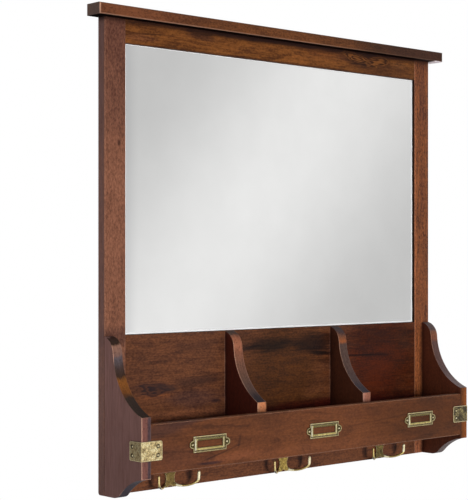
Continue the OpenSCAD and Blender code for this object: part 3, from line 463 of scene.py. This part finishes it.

# what wood() is told about each board. A stain's and a knot's values are those of stain() and knot();
# some of the stains are painted shadows and painted light, marked where they stand
BOARDS = {
    # the left stile's flank colour is a painted sheen
    "left_stile": dict(
        along="z", light=srgb(146, 96, 73), dark=srgb(98, 60, 45), seed=1.0, fibres=0.6, blotches=0.5,
        grits=2.2, specks=0.4, lines=0.2, spacing=0.010, heart=(-0.10, -0.345, 0.02), tilt=0.16,
        flank=srgb(128, 98, 94), worn=0.6,
        stain_and_light_patches=[(-0.341, 0.050, 0.05, 0.070, 0, 0.8, srgb(96, 59, 47)),
                (-0.341, -0.060, 0.05, 0.060, 0, 0.6, srgb(102, 65, 52)),
                (-0.341, -0.410, 0.05, 0.016, 0, 0.8, srgb(86, 54, 44)),
                (-0.3437, -0.057, 0.006, 0.015, 0, 0.35, srgb(84, 48, 36)),
                (-0.3337, -0.1276, 0.004, 0.005, 0, 0.9, srgb(62, 36, 28)),
                (-0.341, -0.62, 0.03, 0.08, 0, 0.5, srgb(80, 48, 40))]),
    # the right stile's flank colour is painted shade on its inner face
    "right_stile": dict(
        along="z", light=srgb(150, 88, 52), dark=srgb(78, 44, 30), seed=5.3, fibres=2.0, blotches=0.6,
        grits=2.2, specks=0.6, lines=0.2, spacing=0.012, heart=(-0.5, 0.33, 0.04), tilt=0.1,
        flank=srgb(24, 14, 11), worn=0.45,
        stain_and_light_patches=[(0.336, -0.485, 0.05, 0.07, 0, 0.7, srgb(140, 80, 46)),
                (0.341, -0.62, 0.05, 0.035, 0, 0.6, srgb(134, 82, 60)),
                (0.341, 0.05, 0.05, 0.02, 0, 0.5, srgb(84, 46, 30)),
                (0.3435, -0.010, 0.008, 0.060, 0, 0.55, srgb(88, 52, 42)),
                (0.3435, -0.170, 0.007, 0.050, 0, 0.4, srgb(92, 54, 42)),
                (0.3440, -0.320, 0.007, 0.040, 0, 0.35, srgb(92, 54, 40)),
                (0.3235, -0.190, 0.0040, 0.30, 0, 0.7, srgb(166, 96, 58))]),
    "top_rail": dict(
        along="x", light=srgb(146, 88, 40), dark=srgb(76, 41, 17), seed=2.2, fibres=1.5, blotches=1.0,
        grits=1.2, specks=0.2, lines=0.3, spacing=0.012, heart=(-0.30, 0.05, 0.03), tilt=0.08, worn=0.0,
        # the first patch is the painted shadow of the cap along the top of the rail
        stain_and_light_patches=[(0.04, 0.0555, 0.36, 0.0095, 0, 0.95, srgb(28, 12, 9)),
                (-0.174, 0.044, 0.036, 0.006, -4, 0.7, srgb(56, 32, 24)),
                (-0.270, 0.0375, 0.060, 0.0012, 4, 0.6, srgb(44, 24, 16)),
                (-0.292, 0.030, 0.040, 0.006, 0, 0.4, srgb(98, 58, 42)),
                (0.100, 0.044, 0.060, 0.012, 0, 0.45, srgb(84, 44, 24)),
                (0.155, 0.042, 0.035, 0.009, 0, 0.7, srgb(58, 32, 22)),
                (0.235, 0.029, 0.120, 0.017, 0, 0.75, srgb(68, 38, 20)),
                (0.200, 0.0405, 0.060, 0.0135, 0, 0.95, srgb(46, 22, 12)),
                (0.285, 0.041, 0.026, 0.006, 0, 0.5, srgb(134, 84, 44)),
                (0.0, 0.0200, 0.40, 0.0022, 0, 0.6, srgb(54, 30, 18))],
        knots=[(0.168, 0.0445, 0.036, 0.0078, -8, 0.95, srgb(34, 16, 10), 0.8),
               (0.222, 0.0380, 0.032, 0.0110, 12, 0.95, srgb(34, 15, 9), 0.8)]),
    "lower_panel": dict(
        along="x", light=srgb(118, 71, 45), dark=srgb(68, 40, 29), seed=3.4, fibres=1.2, blotches=1.0,
        grits=1.6, specks=0.25, lines=0.35, spacing=0.016, heart=(-0.1, -0.52, 0.03), tilt=0.07,
        worn=0.0, shade=0.12,
        stain_and_light_patches=[(0.0, -0.475, 0.115, 0.12, 0, 0.85, srgb(78, 43, 17)),
                (0.235, -0.475, 0.13, 0.12, 0, 0.95, srgb(72, 25, 6)),
                (0.235, -0.432, 0.10, 0.022, 0, 0.5, srgb(58, 38, 22)),
                (0.290, -0.470, 0.035, 0.06, 0, 0.5, srgb(86, 56, 30)),
                (-0.187, -0.484, 0.055, 0.009, 2, 0.7, srgb(58, 37, 31)),
                (-0.185, -0.508, 0.065, 0.015, 0, 0.5, srgb(80, 54, 50)),
                (-0.262, -0.5017, 0.036, 0.0045, 0, 0.8, srgb(122, 70, 42)),
                (-0.1455, -0.515, 0.013, 0.004, 0, 0.8, srgb(38, 26, 27)),
                (-0.175, -0.428, 0.045, 0.007, 3, 0.6, srgb(66, 40, 31)),
                (-0.038, -0.434, 0.062, 0.015, 0, 0.9, srgb(38, 24, 21)),
                (0.068, -0.437, 0.055, 0.017, -3, 0.9, srgb(36, 20, 18)),
                (-0.085, -0.4385, 0.045, 0.005, 3, 0.8, srgb(38, 25, 22)),
                (0.085, -0.452, 0.035, 0.004, -3, 0.8, srgb(34, 22, 20)),
                (0.195, -0.4604, 0.065, 0.002, -1, 0.9, srgb(30, 16, 12)),
                # painted shade: a dark red band along the bottom of the middle and right pockets' panel,
                # above the front board
                (0.130, -0.5385, 0.25, 0.0120, 0, 0.95, srgb(84, 28, 22)),
                # painted light: the bottom of the left pocket's panel is lightened where the front
                # board's shadow falls
                (-0.215, -0.5330, 0.14, 0.0080, 0, 0.8, srgb(150, 92, 62)),
                (-0.1268, -0.4700, 0.0010, 0.07, 0, 0.5, srgb(150, 112, 96)),
                (0.1078, -0.4700, 0.0010, 0.07, 0, 0.5, srgb(150, 112, 96)),
                # the painted shadows behind the horns
                *HORN_SHADOWS],
        knots=[(-0.268, -0.4888, 0.044, 0.0135, 0, 0.95, srgb(30, 25, 31), 0.42),
               (-0.246, -0.4895, 0.034, 0.0055, -4, 0.7, srgb(46, 35, 36), 0.2)]),
    "top_cap": dict(
        along="x", light=srgb(124, 73, 46), dark=srgb(78, 44, 27), seed=4.1, fibres=1.0, blotches=0.9,
        grits=1.7, specks=0.3, lines=0.25, spacing=0.012, heart=(0.1, 0.06, 0.04), tilt=0.05,
        # the cap's left end takes a painted sheen, its round front arrises rubbing and a painted
        # highlight, and its underside painted shade with a painted reflection near the right end
        flank=srgb(106, 95, 90), eased=0.9,
        under=[(-0.38, srgb(18, 13, 12)), (0.30, srgb(24, 15, 13)), (0.357, srgb(60, 48, 46)),
               (0.361, srgb(250, 238, 243))],
        stain_and_light_patches=[(0.02, 0.063, 0.26, 0.03, 0, 0.7, srgb(108, 64, 33)),
                (0.34, 0.063, 0.24, 0.04, 0, 0.9, srgb(60, 38, 29)),
                (-0.18, 0.068, 0.07, 0.006, 0, 0.35, srgb(70, 40, 28))]),
    "front_board": dict(
        along="x", light=srgb(116, 67, 39), dark=srgb(74, 42, 26), seed=6.7, fibres=0.8, blotches=0.8,
        grits=1.2, specks=0.15, lines=0.35, spacing=0.013, heart=(-0.30, -0.59, -0.07), tilt=0.085,
        top=0.8, rubbed_x=(-0.341, 0.341),
        stain_and_light_patches=[(-0.315, -0.538, 0.060, 0.012, 8, 0.75, srgb(66, 42, 36)),
                (-0.250, -0.529, 0.060, 0.005, 5, 0.6, srgb(62, 38, 32)),
                (-0.300, -0.585, 0.065, 0.020, 0, 0.4, srgb(86, 51, 39)),
                (-0.185, -0.588, 0.055, 0.008, 5, 0.7, srgb(118, 68, 42)),
                (-0.2306, -0.5952, 0.026, 0.0024, 0, 0.85, srgb(48, 30, 30)),
                (-0.207, -0.5815, 0.045, 0.0014, 14, 0.7, srgb(54, 32, 25)),
                (-0.1745, -0.569, 0.0026, 0.013, -14, 0.6, srgb(54, 32, 25)),
                (0.0, -0.566, 0.10, 0.03, 0, 0.3, srgb(114, 66, 38)),
                (0.140, -0.5595, 0.10, 0.0016, 4, 0.5, srgb(70, 40, 26)),
                (0.200, -0.545, 0.20, 0.011, 0, 0.5, srgb(88, 49, 30)),
                (0.270, -0.585, 0.09, 0.014, 0, 0.4, srgb(84, 50, 34)),
                (0.240, -0.565, 0.150, 0.050, 0, 0.6, srgb(78, 42, 19)),
                (0.0, -0.592, 0.26, 0.008, 0, 0.35, srgb(116, 68, 44))]),
    # the left side's flank colour is a painted sheen
    "left_side": dict(
        along="z", light=srgb(106, 68, 58), dark=srgb(70, 40, 32), seed=7.5, fibres=0.8, blotches=0.5,
        grits=1.0, specks=0.2, lines=0.12, spacing=0.014, heart=(-0.4, -0.5, 0.05), tilt=0.05,
        flank=srgb(148, 110, 105), curve=LEFT_CURVE, worn=1.0),
    "right_side": dict(
        along="z", light=srgb(98, 50, 32), dark=srgb(58, 28, 19), seed=8.8, fibres=0.8, blotches=0.6,
        grits=1.2, specks=0.2, lines=0.12, spacing=0.014, heart=(-0.4, 0.5, 0.05), tilt=0.05,
        curve=RIGHT_CURVE, worn=1.0, shade=0.6),
    "left_divider": dict(
        along="z", light=srgb(84, 34, 24), dark=srgb(50, 20, 15), seed=9.9, fibres=0.8, blotches=0.6,
        grits=1.0, specks=0.2, lines=0.12, spacing=0.014, heart=(-0.4, -0.3, 0.05), tilt=0.05,
        curve=LEFT_DIVIDER_CURVE, worn=1.0, shade=0.6),
    "right_divider": dict(
        along="z", light=srgb(84, 44, 28), dark=srgb(48, 24, 16), seed=10.6, fibres=0.8, blotches=0.6,
        grits=1.0, specks=0.2, lines=0.12, spacing=0.014, heart=(-0.4, 0.3, 0.05), tilt=0.05,
        curve=RIGHT_DIVIDER_CURVE, worn=1.0, shade=0.6),
    "shelf": dict(along="x", light=srgb(96, 54, 36), dark=srgb(56, 30, 20), seed=11.7),
}
woods = {name: wood("stain_" + name, **board) for name, board in BOARDS.items()}


def plain_wood(name, light, dark, scale):
    """Bare wood or hardboard. scale is how often its fibres turn in a metre, along each axis."""
    material, g = new_material(name)
    place = g.place()
    fibre = g.noise(g.vector("MULTIPLY", place, scale), 1.0, 4.0, 0.6)
    blotch = g.noise(place, 30.0, 3.0, 0.6)
    tone = g.plus(g.times(fibre, 0.6), g.times(blotch, 0.4))
    colour = g.ramp(tone, [(0.35, dark), (0.65, light)])
    finish_shader(g, colour, g.span(fibre, 0.3, 0.7, 0.6, 0.8), fibre, depth=0.0001)
    return material


dowel_wood = plain_wood("bare_beech", srgb(206, 170, 122), srgb(170, 130, 84), (500.0, 500.0, 500.0))
hardboard = plain_wood("hardboard_back", srgb(122, 84, 54), srgb(92, 60, 38), (240.0, 240.0, 160.0))


# ---------------------------------------------------------------- brass, steel and mirror
PALE_GOLD = srgb(238, 214, 148)
RIM_GOLD = srgb(250, 232, 184)
# how far the dirt and painted shade in the brass's corners reach
GRIME_AND_SHADE_REACH = 0.0026
# dirt and painted shade ring a pin out to the first distance, and are full from the second on
PIN_GRIME_AND_SHADE = (0.0036, 0.0026)
PATCH_BLUR = 0.0005
# heights on the hooks: under them, where the horns dip, and over them
HOOK_LOW = -0.645
HOOK_DIP = -0.630
HOOK_HIGH = -0.610
# the values of Y between which a hook's plate gives way to its horns
HORNS_FROM = (-0.0188, -0.0215)
# how far the frame laps over the glass
LAP = 0.0044
# how far in from the frame the painted highlight line along the glass's edges and the painted dark line
# of shade reach, and where they are full. The highlight line is fainter on the left
EDGE_HIGHLIGHT = {"left": (0.0042, 0.0032, 0.0, 0.75), "bottom": (0.0034, 0.0026),
          "right": (0.0054, 0.0048), "top": (0.0020, 0.0012)}
DARK_LINE = {"right": (0.0029, 0.0023), "bottom": (0.0010, 0.0005), "top": (0.0009, 0.0005)}


def centres(obj):
    """The middle of each separate shell of a mesh, in the row's frame."""
    home = list(range(len(obj.data.vertices)))

    def root(i):
        while home[i] != i:
            home[i] = home[home[i]]
            i = home[i]
        return i

    for edge in obj.data.edges:
        a, b = (root(i) for i in edge.vertices)
        home[a] = b
    shells = {}
    for i, vertex in enumerate(obj.data.vertices):
        shells.setdefault(root(i), []).append(obj.matrix_world @ vertex.co)
    return [sum(points, Vector()) / len(points) for points in shells.values()]


def inside(g, place, x_low, x_high, z_low, z_high):
    """1 inside a box in X and Z, with a soft edge."""
    x, _, z = g.split(place)
    sides = [g.span(axis, low - PATCH_BLUR, low + PATCH_BLUR) for axis, low in ((x, x_low), (z, z_low))]
    sides += [g.span(axis, high + PATCH_BLUR, high - PATCH_BLUR)
              for axis, high in ((x, x_high), (z, z_high))]
    return g.times(*sides)


def brass(name, bright, shade, dark, grime_and_shade, rim, network=0.0, rough=0.34, mottles=1.0, horns=None,
          pinned=(), valley=None, patches=(), leg=0.0, rim_width=0.0012):
    """Antique brass, mottled from bright to dark. grime is how dark the corners are: dirt, and painted
    shade where other parts meet the brass. rim is how bright the arrises are, where hands rub them, as
    far in as rim_width. network is how dark the veins are, mottles how strong the mottling is, and rough
    the middle roughness. horns is the colour of what stands more than a plate's thickness off the panel,
    whose faces that look left and down take painted shade. Dirt and painted shade ring the pinned
    places, and dirt fills the valley, which starts and is full at two values of Y. patches are soft
    boxes in X and Z: low and high X, low and high Z, colour, strength; on the label holders and hooks
    they are painted highlights and shade. leg is how dark the painted shade on faces that look left is."""
    material, g = new_material(name)
    place = g.place()
    mottle = g.noise(place, 170.0, 5.0, 0.65, 0.5)
    fine = g.noise(place, 800.0, 3.0, 0.6)
    tone = g.plus(g.swing(mottle, 0.8 * mottles), g.swing(fine, 0.3 * mottles), 0.5)
    colour = g.ramp(tone, [(0.34, dark), (0.5, shade), (0.66, bright)])
    if network:
        push = g.vector("SCALE", g.noise(place, 160.0, 2.0, colour=True), scale=0.006)
        cells = g.add("ShaderNodeTexVoronoi", {"Vector": g.vector("ADD", place, push), "Scale": 190.0},
                      feature="DISTANCE_TO_EDGE").outputs["Distance"]
        colour = g.mix(g.times(g.span(cells, 0.10, 0.0), network), colour, dark)
    normal = g.normal()
    _, y, _ = g.split(place)
    nx, _, nz = g.split(normal)
    if horns:
        off = g.span(y, *HORNS_FROM)
        # the horns' faces that look left and down take the shade colour: painted shade
        dim = g.most(g.span(nx, -0.62, -0.85), g.span(nz, -0.35, -0.8))
        metal = g.mix(g.times(dim, 0.85), horns, shade)
        colour = g.mix(g.times(off, g.span(mottle, 0.3, 0.6, 0.8, 1.0)), colour, metal)
    for *box, tint, strength in patches:
        full = g.span(mottle, 0.35, 0.6, strength * 0.65, strength)
        colour = g.mix(g.times(inside(g, place, *box), full), colour, tint)
    # painted shade on faces that look left
    if leg:
        colour = g.mix(g.times(g.span(nx, -0.6, -0.9), leg), colour, dark)
    if valley:
        colour = g.mix(g.times(g.span(y, *valley), 0.95), colour, dark)
    # dirt and painted shade ring the pins
    for spot in pinned:
        away = g.vector("LENGTH", g.vector("SUBTRACT", place, tuple(spot)))
        colour = g.mix(g.span(away, *PIN_GRIME_AND_SHADE), colour, tuple(v * 0.4 for v in dark))
    # dirt, and painted shade where other parts meet the brass
    colour = g.mix(g.times(g.span(hollow(g, GRIME_AND_SHADE_REACH), 0.93, 0.5), grime_and_shade), colour, dark)
    turned = g.minus(1.0, g.vector("DOT_PRODUCT", g.rounded(rim_width, 6), normal))
    colour = g.mix(g.times(g.span(turned, 0.015, 0.10), rim), colour, RIM_GOLD)
    roughness = g.span(mottle, 0.3, 0.7, rough + 0.1, rough - 0.08)
    shader = finish_shader(g, colour, roughness, g.plus(mottle, g.times(fine, 0.4)),
                           depth=0.00008 * mottles, edge=0.0004)
    shader.inputs["Metallic"].default_value = 0.82
    return material


def pin_brass():
    """Domed pins: the crown is bright, the skirt dark."""
    material, g = new_material("pin_brass")
    place = g.place()
    _, ny, nz = g.split(g.normal())
    crown = g.times(g.span(g.math("ABSOLUTE", nz), 0.75, 0.45), g.span(ny, -0.35, -0.65))
    worn = g.mix(g.span(g.noise(place, 700.0, 3.0, 0.6), 0.35, 0.65), srgb(214, 194, 140),
                 srgb(250, 240, 205))
    colour = g.mix(crown, srgb(70, 56, 32), worn)
    shader = finish_shader(g, colour, g.span(g.noise(place, 400.0, 2.0), 0.3, 0.7, 0.24, 0.36),
                           g.noise(place, 600.0, 2.0), depth=0.00003, edge=0.0003)
    shader.inputs["Metallic"].default_value = 1.0
    return material


def label_brass(name):
    """A label holder's brass, with painted light and shade on its bars: the left bar a bright painted
    highlight, the bottom bar a yellow one, the top edge a bright line, and the top and right bars in
    painted shade, the right one with a bright painted highlight line."""
    (x_low, _, z_low), (x_high, _, z_high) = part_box(name)
    # the ends of the raised frame and of its window lie in from the ends of the ears
    frame_in = 0.0070
    window_in = 0.0140
    left, right = x_low + frame_in, x_high - frame_in
    window_left, window_right = x_low + window_in, x_high - window_in
    # painted shade on the top bar, painted highlights along the top edge and the bottom bar, painted
    # shade on the right bar with a painted highlight line, and a painted highlight on the left bar
    patches = [
        (window_left, window_right, z_high - 0.0075, z_high - 0.0015, srgb(84, 78, 30), 0.85),
        (left, right, z_high - 0.0010, z_high, srgb(250, 234, 168), 0.8),
        (window_left, window_right, z_low + 0.0038, z_low + 0.0066, srgb(238, 220, 140), 0.6),
        (window_right, right, z_low, z_high - 0.0015, srgb(96, 84, 42), 0.85),
        (window_right + 0.0006, window_right + 0.0022, z_low + 0.004, z_high - 0.004,
         srgb(252, 240, 190), 0.8),
        (left + 0.0018, left + 0.0042, z_low, z_high, srgb(255, 252, 226), 0.95)]
    return brass(name + "_brass", srgb(240, 224, 160), srgb(160, 142, 76), srgb(66, 54, 20), 0.9, 0.7,
                 mottles=0.9, valley=(-0.1022, -0.1019), patches=patches)


def hook_brass(name, bright, shade, dark, horns=PALE_GOLD):
    """A hook's brass, with painted light and shade on the horns: the left horn in painted shade at its
    foot, the right one duller along its dip, with painted highlights at its root and its tip.
    """
    (x_low, _, _), (x_high, _, _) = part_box(name)
    # painted shade at the left horn's foot, a duller dip on the right horn, and painted highlights at its
    # root and tip
    patches = [
        (x_low - 0.002, x_low + 0.0110, HOOK_LOW, HOOK_DIP - 0.003, srgb(62, 52, 26), 0.9),
        (x_low + 0.0590, x_high - 0.008, HOOK_LOW, HOOK_DIP, srgb(168, 140, 66), 0.75),
        (x_low + 0.0515, x_low + 0.0585, HOOK_LOW, HOOK_DIP - 0.003, srgb(255, 246, 208), 0.95),
        (x_high - 0.0055, x_high + 0.002, HOOK_DIP, HOOK_HIGH, srgb(255, 248, 214), 0.8)]
    return brass(name + "_brass", bright, shade, dark, 0.8, 0.6, rough=0.24, mottles=0.9, horns=horns,
                 patches=patches)


def steel_finish():
    """Zinc-plated steel, spangled and lightly scratched."""
    material, g = new_material("zinc_steel")
    place = g.place()
    spangle = g.noise(place, 260.0, 4.0, 0.6)
    scratch = g.noise(g.vector("MULTIPLY", place, (300.0, 300.0, 2600.0)), 1.0, 2.0, 0.5)
    colour = g.ramp(g.plus(g.times(spangle, 0.7), g.times(scratch, 0.3)),
                    [(0.35, srgb(142, 144, 148)), (0.65, srgb(196, 198, 200))])
    shader = finish_shader(g, colour, g.span(spangle, 0.3, 0.7, 0.28, 0.46), scratch,
                           depth=0.00003, edge=0.0003)
    shader.inputs["Metallic"].default_value = 1.0
    return material


def mirror_finish():
    """Silvered glass. A painted highlight line runs along its edges inside the frame, painted dark lines
    of shade lie along three of its lips, and the silver is greyer towards the left."""
    low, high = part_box("mirror_glass")
    material, g = new_material("silvered_glass")
    place = g.place()
    x, _, z = g.split(place)
    reach = {"left": g.minus(x, low[0] + LAP), "right": g.minus(high[0] - LAP, x),
             "bottom": g.minus(z, low[2] + LAP), "top": g.minus(high[2] - LAP, z)}
    # a painted highlight line along the edges, and painted dark lines of shade along the right, bottom
    # and top lips
    edge_highlight = g.most(*(g.span(reach[side], *limits) for side, limits in EDGE_HIGHLIGHT.items()))
    dark = {side: g.span(reach[side], *limits) for side, limits in DARK_LINE.items()}
    silver = g.ramp(g.noise(place, 18.0, 2.0), [(0.3, srgb(248, 248, 247)), (0.7, srgb(251, 251, 250))])
    silver = g.mix(g.span(reach["left"], 0.030, 0.0, 0.0, 0.35), silver, srgb(198, 198, 199))
    colour = g.mix(edge_highlight, silver, srgb(249, 250, 250))
    colour = g.mix(g.most(dark["right"], dark["bottom"]), colour, srgb(22, 15, 13))
    colour = g.mix(dark["top"], colour, srgb(70, 40, 22))
    shader = g.add("ShaderNodeBsdfPrincipled", {
        "Base Color": colour, "Roughness": g.span(edge_highlight, 0.0, 1.0, 0.015, 0.55),
        "Metallic": g.span(edge_highlight, 0.0, 1.0, 1.0, 0.0)})
    g.add("ShaderNodeOutputMaterial", {"Surface": shader.outputs[0]})
    return material


pin_spots = centres(nodes["corner_plate_pins"])
left_plate_brass = brass(
    "bright_mottled_brass", srgb(255, 245, 198), srgb(230, 205, 146), srgb(100, 82, 58), 0.9, 0.9,
    network=0.6, mottles=1.15, leg=0.55, rim_width=0.0018,
    pinned=[spot for spot in pin_spots if spot.x < 0])
right_plate_brass = brass(
    "dull_mottled_brass", srgb(196, 178, 118), srgb(104, 92, 66), srgb(50, 44, 34), 0.9, 1.0,
    network=0.5, mottles=1.2, rim_width=0.0024, pinned=[spot for spot in pin_spots if spot.x > 0])
hook_finishes = {
    "left_hook": hook_brass("left_hook", srgb(166, 142, 80), srgb(120, 98, 54), srgb(50, 40, 22)),
    "middle_hook": hook_brass("middle_hook", srgb(220, 192, 108), srgb(170, 142, 72), srgb(60, 48, 24)),
    "right_hook": hook_brass("right_hook", srgb(148, 128, 70), srgb(106, 90, 48), srgb(46, 38, 20),
                             srgb(232, 206, 128)),
}
pins = pin_brass()
steel = steel_finish()

finishes = dict(woods)
for name in ("frame_dowels", "cap_dowels", "tray_dowels"):
    finishes[name] = dowel_wood
finishes["backing_board"] = hardboard
finishes["mirror_glass"] = mirror_finish()
for name in ("backing_screws", "side_screws", "divider_screws", "shelf_screws", "left_keyhole_plate",
             "right_keyhole_plate", "keyhole_plate_screws"):
    finishes[name] = steel
finishes["left_corner_plate"] = left_plate_brass
finishes["right_corner_plate"] = right_plate_brass
for name in ("left_label_holder", "middle_label_holder", "right_label_holder"):
    finishes[name] = label_brass(name)
for name in ("corner_plate_pins", "label_holder_pins"):
    finishes[name] = pins
finishes.update(hook_finishes)
finishes["hook_screws"] = hook_finishes["left_hook"]
for name, obj in nodes.items():
    obj.data.materials.clear()
    obj.data.materials.append(finishes[name])


# ---------------------------------------------------------------- stage
def mesh_object(name, points, faces, material):
    mesh = bpy.data.meshes.new(name)
    mesh.from_pydata(points, [], faces)
    obj = bpy.data.objects.new(name, mesh)
    bpy.context.scene.collection.objects.link(obj)
    mesh.materials.append(material)
    return obj


def looked_at(g):
    """1 for what the camera sees, straight or by a mirror or through glass, and 0 for plain light."""
    ray = g.add("ShaderNodeLightPath").outputs
    return g.most(ray["Is Camera Ray"], ray["Is Glossy Ray"], ray["Is Transmission Ray"])


def floor():
    """A pale floor, painted near the part and plain white from some way off."""
    material, g = new_material("pale_floor")
    place = g.place()
    paint = g.ramp(g.noise(place, 2.0, 2.0), [(0.3, (0.86,) * 3), (0.7, (0.9,) * 3)])
    near = g.add("ShaderNodeBsdfDiffuse", {"Color": paint})
    white = g.add("ShaderNodeEmission", {"Color": (1.0, 1.0, 1.0, 1.0), "Strength": 1.0})
    away = g.vector("LENGTH", g.vector("MULTIPLY", place, (1.0, 1.0, 0.0)))
    far = g.span(away, *FLOOR_PAINTED)
    both = g.add("ShaderNodeMixShader", {"Fac": g.times(far, looked_at(g)), 1: near.outputs[0],
                                         2: white.outputs[0]})
    g.add("ShaderNodeOutputMaterial", {"Surface": both.outputs[0]})
    corners = [(x * FLOOR_REACH, y * FLOOR_REACH, 0) for x, y in ((-1, -1), (1, -1), (1, 1), (-1, 1))]
    obj = mesh_object("floor", corners, [(0, 1, 2, 3)], material)
    obj.location.z = FLOOR_Z


def sky():
    """A faint even light that looks plain white."""
    world = bpy.data.worlds.new("studio")
    world.use_nodes = True
    bpy.context.scene.world = world
    g = Graph(world.node_tree)
    light = g.add("ShaderNodeBackground", {"Color": (1.0, 0.985, 0.97, 1.0), "Strength": SKY_LIGHT})
    white = g.add("ShaderNodeBackground", {"Color": (1.0, 1.0, 1.0, 1.0), "Strength": 1.0})
    both = g.add("ShaderNodeMixShader", {"Fac": looked_at(g), 1: light.outputs[0],
                                         2: white.outputs[0]})
    g.add("ShaderNodeOutputWorld", {"Surface": both.outputs[0]})


def grey_card():
    """A tall curved card round the front and the left. Only reflections see it: a soft slanting band
    for the mirror, a little lighter across the waist, a low bright strip straight in front, which the
    hooks catch, and dull parts at the left, behind and high up."""
    material, g = new_material("grey_card")
    x, y, z = g.split(g.place())
    angle = g.math("ARCTAN2", x, g.times(y, -1.0))
    wave = g.math("COSINE", g.plus(g.times(angle, CARD_TURN), g.times(z, CARD_RISE), CARD_PHASE))
    off_waist = g.math("ABSOLUTE", g.minus(z, WAIST_Z))
    waist = g.span(off_waist, WAIST_REACH, 0.0, 0.0, WAIST_GAIN)
    off_strip = g.math("ABSOLUTE", g.minus(angle, STRIP_ANGLE))
    strip = g.times(g.span(off_strip, *STRIP_SIDES, 0.0, STRIP_GAIN), g.span(z, *STRIP_TOP))
    dull = g.plus(g.span(angle, *DULL_LEFT), g.span(z, *DULL_HIGH))
    level = g.plus(g.minus(CARD_LEVEL, g.times(wave, CARD_SWING)), waist, strip, dull)
    glow = g.add("ShaderNodeEmission", {"Color": (1.0, 1.0, 1.0, 1.0),
                                        "Strength": g.most(level, CARD_LEAST)})
    g.add("ShaderNodeOutputMaterial", {"Surface": glow.outputs[0]})
    points = []
    for i in range(CARD_STEPS + 1):
        turn = math.radians(CARD_START + CARD_SWEEP * i / CARD_STEPS)
        for height in CARD_HEIGHTS:
            points.append((CARD_R * math.sin(turn), -CARD_R * math.cos(turn), height))
    faces = [(2 * i, 2 * i + 2, 2 * i + 3, 2 * i + 1) for i in range(CARD_STEPS)]
    obj = mesh_object("grey_card", points, faces, material)
    for ray in ("camera", "diffuse", "transmission", "shadow", "volume_scatter"):
        setattr(obj, "visible_" + ray, False)


def lamp(name, place, aim, size, watts):
    """A soft box that lights the part and that no reflection shows."""
    data = bpy.data.lights.new(name, "AREA")
    data.shape = "RECTANGLE"
    data.size, data.size_y = size
    data.energy = watts
    obj = bpy.data.objects.new(name, data)
    obj.location = place
    obj.rotation_euler = (Vector(aim) - Vector(place)).to_track_quat("-Z", "Y").to_euler()
    obj.visible_glossy = False
    bpy.context.scene.collection.objects.link(obj)


floor()
sky()
grey_card()
lamp("front_box", place=(-0.40, -2.9, -0.5), aim=(0.0, 0.0, -0.35), size=(0.4, 0.8), watts=56)
lamp("top_box", place=(0.0, -0.4, 2.2), aim=(0.0, 0.0, -0.3), size=(1.8, 1.4), watts=9)
lamp("left_box", place=(-2.8, -0.3, 0.2), aim=(0.0, 0.0, -0.3), size=(1.0, 1.4), watts=17)
lamp("back_box", place=(0.4, 2.8, 0.7), aim=(0.0, 0.0, -0.3), size=(1.6, 1.4), watts=34)

camera_data = bpy.data.cameras.new("camera")
camera_data.lens = LENS
camera_data.sensor_width = SENSOR
camera_data.shift_y = SHIFT_Y
camera_data.clip_end = 60
camera = bpy.data.objects.new("camera", camera_data)
camera.location = EYE
camera.rotation_euler = (math.pi / 2, 0.0, -EYE_YAW)
bpy.context.scene.collection.objects.link(camera)
bpy.context.scene.camera = camera
bpy.context.scene.view_settings.view_transform = "Standard"
